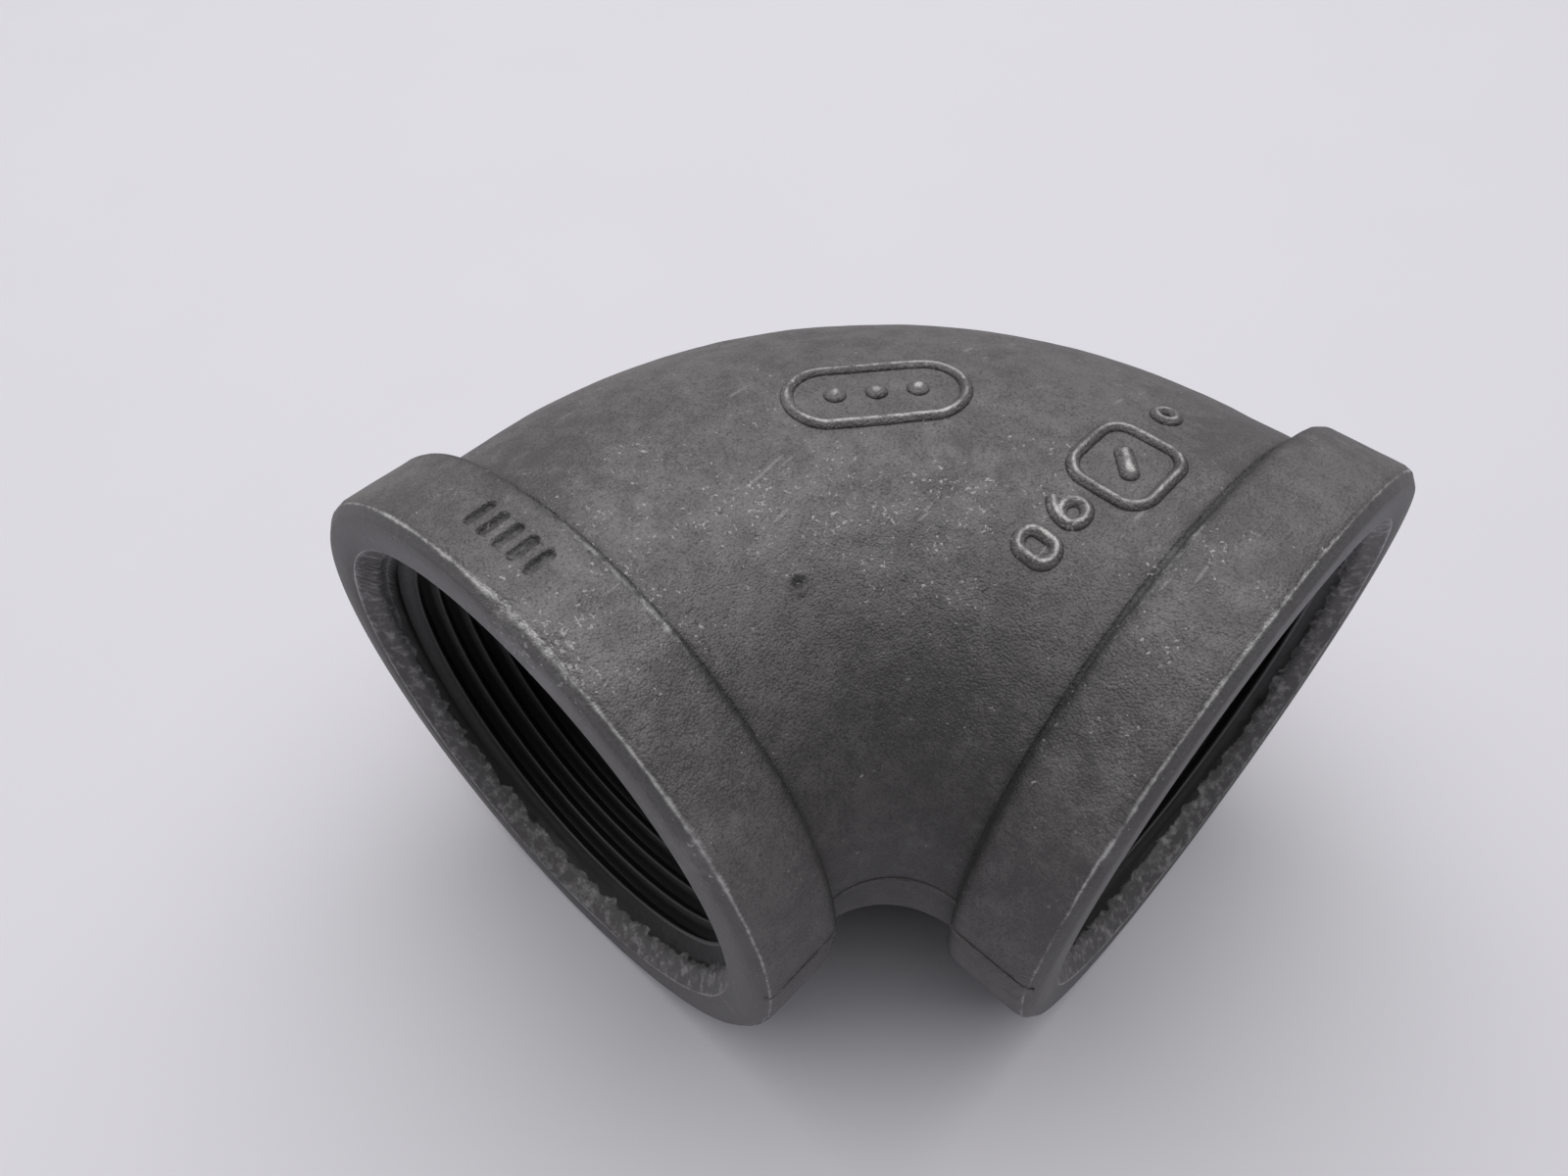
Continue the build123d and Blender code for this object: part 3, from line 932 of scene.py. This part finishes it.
def grains(tree, place, size_mm):
    """Rounded grains with creases between them, from 0 in a crease to 1 on top."""
    off = add(tree, "TexVoronoi", {"Vector": place, "Scale": 1000 / size_mm}).outputs["Distance"]
    return maths(tree, "SUBTRACT", 1.0, times(tree, off, off))


def weigh(tree, *parts):
    """Adds up values, each with its weight."""
    total = 0.0
    for value, weight in parts:
        total = maths(tree, "ADD", total, times(tree, value, weight))
    return total


def sand_grain_group():
    """The grain that the sand mould leaves: a mottled tone and a height."""
    tree, given, out = new_group("Sand Grain", ("Place",), ("Tone", "Height"))
    place = given["Place"]
    broad = cloud(tree, place, 26, 4)
    mottle = cloud(tree, place, 3.2, 6, 0.62)
    fine = cloud(tree, place, 0.7, 3, 0.65)
    sand = grains(tree, place, 0.3)
    coarse = grains(tree, place, 0.95)
    tree.links.new(weigh(tree, (broad, 0.34), (mottle, 0.30), (fine, 0.20), (sand, 0.16)), out["Tone"])
    tree.links.new(weigh(tree, (mottle, 0.85), (fine, 0.45), (sand, 0.30), (coarse, 0.09)), out["Height"])
    return tree


def scuff_group():
    """Pale scuffs and specks of dust, more of them where the amount is high."""
    tree, given, out = new_group("Scuffs and Specks", ("Place", "Amount"), ("Scuff", "Speck", "Scratch"))
    place, handled = given["Place"], given["Amount"]
    smear = cloud(tree, place, 4.2, 9, 0.74)
    lifted = maths(tree, "ADD", smear, times(tree, handled, 0.17))
    tree.links.new(step_up(tree, lifted, 0.56, 0.78), out["Scuff"])
    fleck = cloud(tree, place, 0.62, 3, 0.6)
    cluster = times(tree, cloud(tree, place, 6.5, 3), 0.36)
    total = maths(tree, "ADD", maths(tree, "ADD", fleck, cluster), times(tree, handled, 0.10))
    tree.links.new(step_up(tree, total, 0.895, 0.97), out["Speck"])
    swept = add(tree, "Mapping", {"Vector": place, "Rotation": (0.3, 0.2, 1.1), "Scale": (1, 0.045, 1)})
    streak = cloud(tree, swept.outputs["Vector"], 1.1, 2)
    here = times(tree, cloud(tree, place, 9, 1), 0.30)
    streak = maths(tree, "ADD", maths(tree, "ADD", streak, here), times(tree, handled, 0.05))
    tree.links.new(step_up(tree, streak, 0.90, 0.93), out["Scratch"])
    return tree


def worn_edge_group():
    """Edges rubbed bright in broken patches."""
    tree, given, out = new_group("Worn Edge", ("Place", "Worn"), ("Mask", "Bright"))
    breaks = cloud(tree, given["Place"], 1.1, 5, 0.65)
    patches = cloud(tree, given["Place"], 7, 2)
    uneven = maths(tree, "ADD", times(tree, breaks, 0.7), times(tree, patches, 0.5))
    total = times(tree, given["Worn"], uneven)
    tree.links.new(step_up(tree, total, 0.34, 0.62), out["Mask"])
    tree.links.new(step_up(tree, total, 0.48, 0.70), out["Bright"])
    return tree


def use_group(tree, name, make, values):
    """Places a node group in a material. It is built the first time that it is asked for."""
    made = tree.nodes.new("ShaderNodeGroup")
    made.node_tree = bpy.data.node_groups.get(name) or make()
    for socket, value in values.items():
        tree.links.new(value, made.inputs[socket])
    return made.outputs


def attribute(tree, name):
    """Reads a value that was painted on the piece."""
    return add(tree, "Attribute", {}, attribute_name=name).outputs["Fac"]


def new_finish(name):
    """Starts a material, and gives its tree and the object's own place."""
    material = bpy.data.materials.new(name)
    material.use_nodes = True
    tree = material.node_tree
    tree.nodes.clear()
    return material, tree, add(tree, "TexCoord", {}).outputs["Object"]


def close_finish(tree, shade, rough, height, bump, metallic=0.0):
    """Ends a material in one shader."""
    relief = add(tree, "Bump", {"Strength": bump, "Distance": 0.3 * MM, "Height": height})
    normal = relief.outputs["Normal"]
    inputs = {"Base Color": shade, "Roughness": rough, "Metallic": metallic, "Normal": normal}
    shader = add(tree, "BsdfPrincipled", inputs)
    add(tree, "OutputMaterial", {"Surface": shader.outputs["BSDF"]})


def skin_shade(tree, finish, tone):
    """The colour of unworn metal: mottled iron, painted shade in its hollows, crotch and waterway, and lathe
    rings where it is faced.
    """
    mottled = step_up(tree, tone, 0.44, 0.64)
    shade = blend(tree, mottled, tuple(finish.iron_dark), tuple(finish.iron_warm))
    shade = blend(tree, 0.35, shade, tuple(finish.iron))
    # painted shade, laid over the iron
    shade = blend(tree, times(tree, attribute(tree, "painted_shade"), 0.8), shade, tuple(finish.hollow))
    rings = {"W": times(tree, attribute(tree, "ring"), 26.0), "Scale": 1.0, "Detail": 3.0}
    lathe = add(tree, "TexNoise", rings, noise_dimensions="1D").outputs["Fac"]
    faced = blend(tree, step_up(tree, lathe, 0.3, 0.7), tuple(finish.faced), tuple(finish.iron))
    return blend(tree, times(tree, attribute(tree, "cut"), 0.6), shade, faced)


def wear_shade(tree, finish, shade, marks, worn):
    """The colour with its scuffs, rubbed edges, scratches and specks of dust."""
    shade = blend(tree, times(tree, marks["Scuff"], 0.14), shade, tuple(finish.rubbed))
    shade = blend(tree, times(tree, worn["Mask"], 0.65), shade, tuple(finish.rubbed))
    shade = blend(tree, worn["Bright"], shade, tuple(finish.dust))
    shade = blend(tree, times(tree, marks["Scratch"], 0.22), shade, tuple(finish.rubbed))
    return blend(tree, times(tree, marks["Speck"], 0.55), shade, tuple(finish.dust))


def cast_finish(finish, name="cast iron skin"):
    """Dark iron as it came from sand, with stains, painted shade in its hollows, scuffs, specks and rubbed
    edges.
    """
    if name in bpy.data.materials:
        return bpy.data.materials[name]
    material, tree, place = new_finish(name)
    grain = use_group(tree, "Sand Grain", sand_grain_group, {"Place": place})
    scuffed = {"Place": place, "Amount": attribute(tree, "scuff")}
    marks = use_group(tree, "Scuffs and Specks", scuff_group, scuffed)
    rubbed = {"Place": place, "Worn": attribute(tree, "rubbed")}
    worn = use_group(tree, "Worn Edge", worn_edge_group, rubbed)
    shade = wear_shade(tree, finish, skin_shade(tree, finish, grain["Tone"]), marks, worn)
    rough = step_up(tree, grain["Tone"], 0.3, 0.7, 0.50, 0.66)
    rough = maths(tree, "SUBTRACT", rough, times(tree, worn["Mask"], 0.12))
    flat = maths(tree, "SUBTRACT", 1.0, times(tree, attribute(tree, "cut"), 0.3))
    close_finish(tree, shade, rough, times(tree, grain["Height"], flat), 1.0, metallic=0.25)
    return material


def tapped_finish(finish):
    """Oiled thread metal, darkened further as painted shade in the bore, with crests painted lighter as wear
    and painted highlight, a paler mouth and a bright rim.
    """
    name = "tapped iron"
    if name in bpy.data.materials:
        return bpy.data.materials[name]
    material, tree, place = new_finish(name)
    grain = use_group(tree, "Sand Grain", sand_grain_group, {"Place": place})
    rubbed = {"Place": place, "Worn": attribute(tree, "rubbed")}
    worn = use_group(tree, "Worn Edge", worn_edge_group, rubbed)
    # crests painted lighter: partly wear, partly painted highlight
    crest = step_up(tree, attribute(tree, "crest"), 0.93, 1.0, 0.0, 0.70)
    shade = blend(tree, crest, tuple(finish.tapped), tuple(finish.iron))
    ragged = times(tree, cloud(tree, place, 2.6, 4), 0.30)
    edge = maths(tree, "ADD", attribute(tree, "depth"), ragged)
    mouth = step_up(tree, edge, 0.46, 0.50, 1.0, 0.0)
    patches = step_up(tree, cloud(tree, place, 1.7, 7, 0.7), 0.46, 0.68)
    torn = blend(tree, patches, tuple(finish.iron_dark), tuple(finish.rubbed))
    torn = blend(tree, 0.55, torn, tuple(finish.iron))
    shade = blend(tree, mouth, shade, torn)
    shade = blend(tree, worn["Mask"], shade, tuple(finish.rubbed))
    rough = step_up(tree, grain["Tone"], 0.3, 0.7, 0.46, 0.62)
    close_finish(tree, shade, rough, grain["Height"], 0.25, metallic=0.2)
    return material


def floor_finish(stage):
    """A plain pale surface with the faintest tooth."""
    material, tree, place = new_finish("pale surface")
    tooth = cloud(tree, place, 1.2, 3)
    darker = tuple(channel * 0.97 for channel in stage.floor)
    tint = blend(tree, cloud(tree, place, 60, 2), tuple(stage.floor), darker)
    close_finish(tree, tint, 0.7, tooth, 0.02)
    return material


# ---- operators ------------------------------------------------------------------------------------------
class ELBOW_OT_bend(bpy.types.Operator):
    """Build the hollow bend between the two bands"""

    bl_idname = "elbow.bend"
    bl_label = "Bend"

    def execute(self, context):
        sizes, finish = settings_of(context)
        bend_piece(sizes, finish, cast_finish(finish))
        return {"FINISHED"}


class ELBOW_OT_bands(bpy.types.Operator):
    """Build the thick band round each port"""

    bl_idname = "elbow.bands"
    bl_label = "End Bands"

    def execute(self, context):
        sizes, finish = settings_of(context)
        for port in PORTS:
            band_piece(port, sizes, finish, cast_finish(finish))
        return {"FINISHED"}


class ELBOW_OT_ports(bpy.types.Operator):
    """Build the two tapped ports"""

    bl_idname = "elbow.ports"
    bl_label = "Tapped Ports"

    def execute(self, context):
        sizes, finish = settings_of(context)
        for port in PORTS:
            thread_piece(port, sizes, finish, tapped_finish(finish))
        return {"FINISHED"}


class ELBOW_OT_mould_line(bpy.types.Operator):
    """Build the raised line where the mould's halves met"""

    bl_idname = "elbow.mould_line"
    bl_label = "Mould Line"

    def execute(self, context):
        sizes, finish = settings_of(context)
        material = cast_finish(finish)
        line_piece("mould_ridge_back", "mould_line_back", sizes, material, True)
        line_piece("mould_ridge_crotch", "mould_line_crotch", sizes, material, False)
        return {"FINISHED"}


class ELBOW_OT_marks(bpy.types.Operator):
    """Build the raised frames, figures and pips on the bend"""

    bl_idname = "elbow.marks"
    bl_label = "Raised Marks"

    def execute(self, context):
        sizes, finish = settings_of(context)
        material = cast_finish(finish, "cast iron marks")
        frame_pieces(sizes, material)
        figure_pieces(sizes, material)
        pip_pieces(sizes, material)
        return {"FINISHED"}


class ELBOW_OT_stage(bpy.types.Operator):
    """Lay the floor, light it and place the camera"""

    bl_idname = "elbow.stage"
    bl_label = "Floor, Light and Camera"

    def execute(self, context):
        stage = context.scene.elbow_stage
        lay_floor(stage)
        soft_light("overhead", stage.overhead_place, stage.overhead_size, stage.overhead_power)
        soft_light("side", stage.side_place, stage.side_size, stage.side_power)
        place_camera(stage)
        set_surroundings(stage)
        return {"FINISHED"}


def settings_of(context):
    """The elbow's sizes and finish, as they are set in the sidebar."""
    return context.scene.elbow_sizes, context.scene.elbow_finish


def lay_floor(stage):
    """A wide flat floor under the elbow."""
    bm = bmesh.new()
    bmesh.ops.create_grid(bm, x_segments=2, y_segments=2, size=stage.floor_reach)
    mesh = bpy.data.meshes.new("floor")
    bm.to_mesh(mesh)
    bm.free()
    mesh.materials.append(floor_finish(stage))
    made = bpy.data.objects.new("floor", mesh)
    bpy.context.scene.collection.objects.link(made)


def soft_light(name, place, size, power):
    """A square soft light that faces the elbow."""
    lamp = bpy.data.lights.new(name, "AREA")
    lamp.size = size
    lamp.energy = power
    made = bpy.data.objects.new(name, lamp)
    away = Vector(place)
    facing = away.to_track_quat("Z", "Y").to_matrix().to_4x4()
    made.matrix_world = Matrix.Translation(CROSSING + away) @ facing
    bpy.context.scene.collection.objects.link(made)


def place_camera(stage):
    """The camera, above and in front of the corner."""
    camera = bpy.data.objects.new("camera", bpy.data.cameras.new("camera"))
    camera.data.lens = stage.lens
    camera.data.clip_start = 0.01
    rise, turn, lean = stage.camera_angles
    camera.matrix_world = (
        Matrix.Translation(CROSSING + Vector(stage.camera_place))
        @ Matrix.Rotation(turn, 4, "Z")
        @ Matrix.Rotation(math.pi / 2 - rise, 4, "X")
        @ Matrix.Rotation(lean, 4, "Z")
    )
    bpy.context.scene.collection.objects.link(camera)
    bpy.context.scene.camera = camera


def set_surroundings(stage):
    """A plain pale room, shown without a film look."""
    world = bpy.data.worlds.new("pale room")
    world.use_nodes = True
    tree = world.node_tree
    seen = add(tree, "LightPath", {}).outputs["Is Camera Ray"]
    strength = maths(tree, "ADD", times(tree, seen, stage.backdrop), stage.room_strength)
    tree.nodes["Background"].inputs["Color"].default_value = stage.room
    tree.links.new(strength, tree.nodes["Background"].inputs["Strength"])
    bpy.context.scene.world = world
    bpy.context.scene.view_settings.view_transform = "Standard"


class ELBOW_PT_panel(bpy.types.Panel):
    """The elbow's settings and the operators that build it."""

    bl_label = "Cast Pipe Elbow"
    bl_space_type = "VIEW_3D"
    bl_region_type = "UI"
    bl_category = "Elbow"

    def draw(self, context):
        for operator in OPERATORS:
            self.layout.operator(operator.bl_idname)
        for settings in (*settings_of(context), context.scene.elbow_stage):
            for name in settings.__annotations__:
                self.layout.prop(settings, name)


OPERATORS = (
    ELBOW_OT_bend,
    ELBOW_OT_bands,
    ELBOW_OT_ports,
    ELBOW_OT_mould_line,
    ELBOW_OT_marks,
    ELBOW_OT_stage,
)
CLASSES = (ElbowSizes, ElbowFinish, ElbowStage, *OPERATORS, ELBOW_PT_panel)


def register():
    """Adds the classes and their settings."""
    for kind in CLASSES:
        bpy.utils.register_class(kind)
    bpy.types.Scene.elbow_sizes = PointerProperty(type=ElbowSizes)
    bpy.types.Scene.elbow_finish = PointerProperty(type=ElbowFinish)
    bpy.types.Scene.elbow_stage = PointerProperty(type=ElbowStage)


def unregister():
    """Takes the settings and the classes away."""
    del bpy.types.Scene.elbow_stage
    del bpy.types.Scene.elbow_finish
    del bpy.types.Scene.elbow_sizes
    for kind in reversed(CLASSES):
        bpy.utils.unregister_class(kind)


def main():
    """Builds every piece and the stage."""
    register()
    bpy.ops.elbow.bend()
    bpy.ops.elbow.bands()
    bpy.ops.elbow.ports()
    bpy.ops.elbow.mould_line()
    bpy.ops.elbow.marks()
    bpy.ops.elbow.stage()
    bpy.context.view_layer.update()


if __name__ == "__main__":
    main()
